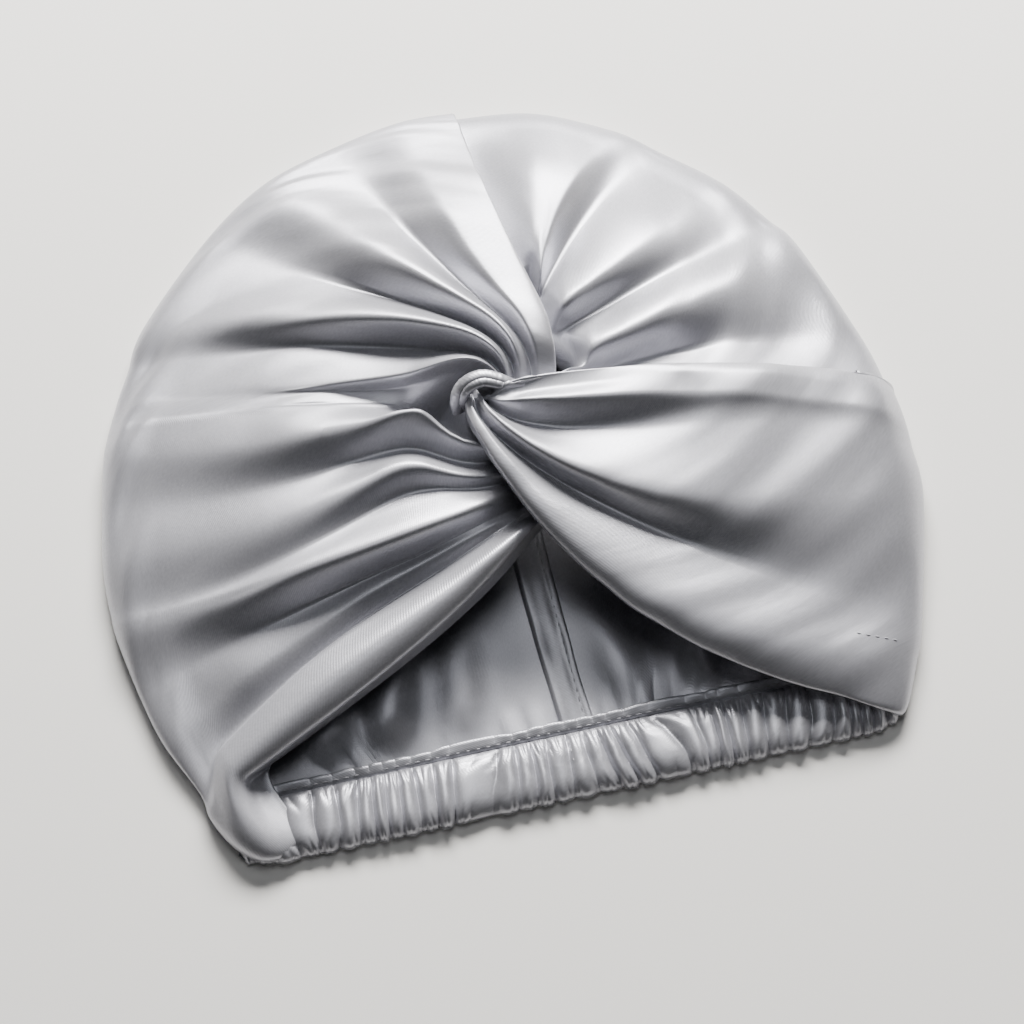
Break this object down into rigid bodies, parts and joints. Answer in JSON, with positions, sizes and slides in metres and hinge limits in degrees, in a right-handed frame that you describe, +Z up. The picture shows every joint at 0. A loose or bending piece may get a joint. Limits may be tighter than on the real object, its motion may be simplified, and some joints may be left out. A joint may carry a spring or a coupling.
{
  "type": "twist-front satin sleep bonnet",
  "caption": "Satin sleep bonnet lying flat: pleated crown halves crossed in a front twist, with a gathered elastic band at the nape.",
  "frame": {"origin": "under the middle of the outline, on the surface that the bonnet lies on", "axes": "+X along the nape band to the right, +Y from the band towards the crown's top, +Z up through the twisted front"},
  "size_m": [0.2982, 0.2848, 0.0495],
  "materials": {
    "satin": "silver-grey satin with a soft sheen",
    "satin_inside": "the same satin, folded and stitched in the seam"
  },
  "bodies": {
    "root": {"left_panel": "satin", "right_panel": "satin", "nape_band": "satin", "centre_seam": "satin_inside"}
  },
  "joints": []
}
